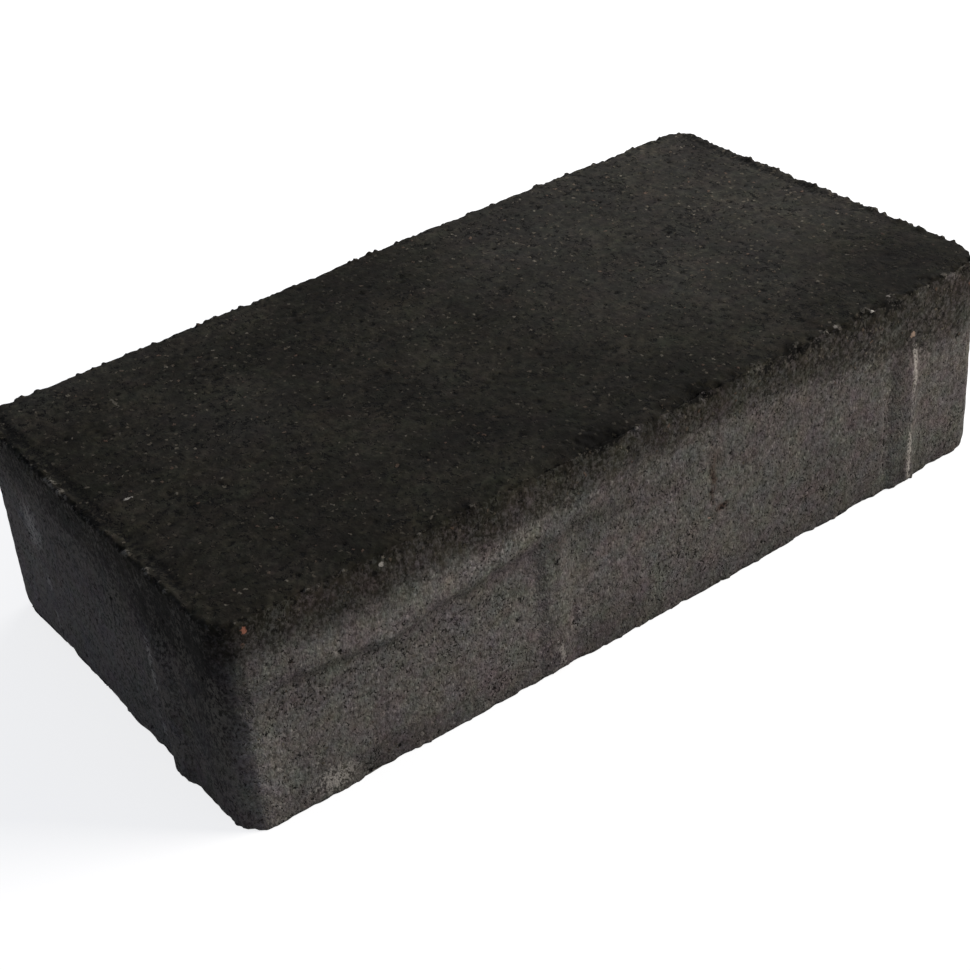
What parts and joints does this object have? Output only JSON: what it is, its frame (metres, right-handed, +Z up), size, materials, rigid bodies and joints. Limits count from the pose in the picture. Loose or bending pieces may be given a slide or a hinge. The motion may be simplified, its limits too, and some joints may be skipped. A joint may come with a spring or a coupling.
{
  "type": "concrete paving stone",
  "caption": "Rectangular dark grey concrete block with rounded corners and offset spacer nibs on its sides, laid on a bed to pave a path or drive.",
  "frame": {"origin": "centre of the bed face, on the surface that the stone lies on", "axes": "+X along the length, +Y across the width, +Z up to the wearing face"},
  "size_m": [0.2026, 0.1024, 0.05],
  "materials": {
    "concrete": "matte"
  },
  "bodies": {
    "root": {"paving_stone": "concrete"}
  },
  "joints": []
}
